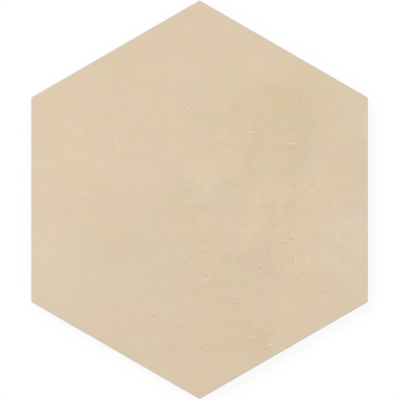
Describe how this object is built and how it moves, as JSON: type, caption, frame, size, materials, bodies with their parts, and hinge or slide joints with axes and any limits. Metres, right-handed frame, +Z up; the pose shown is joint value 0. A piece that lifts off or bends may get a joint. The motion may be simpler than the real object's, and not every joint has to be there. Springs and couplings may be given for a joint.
{
  "type": "hexagon floor tile",
  "caption": "Flat elongated hexagonal porcelain floor tile in matte sand beige, with a fine bevelled edge and a honeycomb of keying ribs on its back.",
  "frame": {"origin": "middle of the back, in the plane of the rib crests and rim that the tile beds on", "axes": "+Z up out of the walking face, +Y towards one of the two points, +X out of one of the two long parallel sides"},
  "size_m": [0.2, 0.2368, 0.009],
  "materials": {
    "porcelain": "matte"
  },
  "bodies": {
    "root": {"hexagon_tile": "porcelain"}
  },
  "joints": []
}
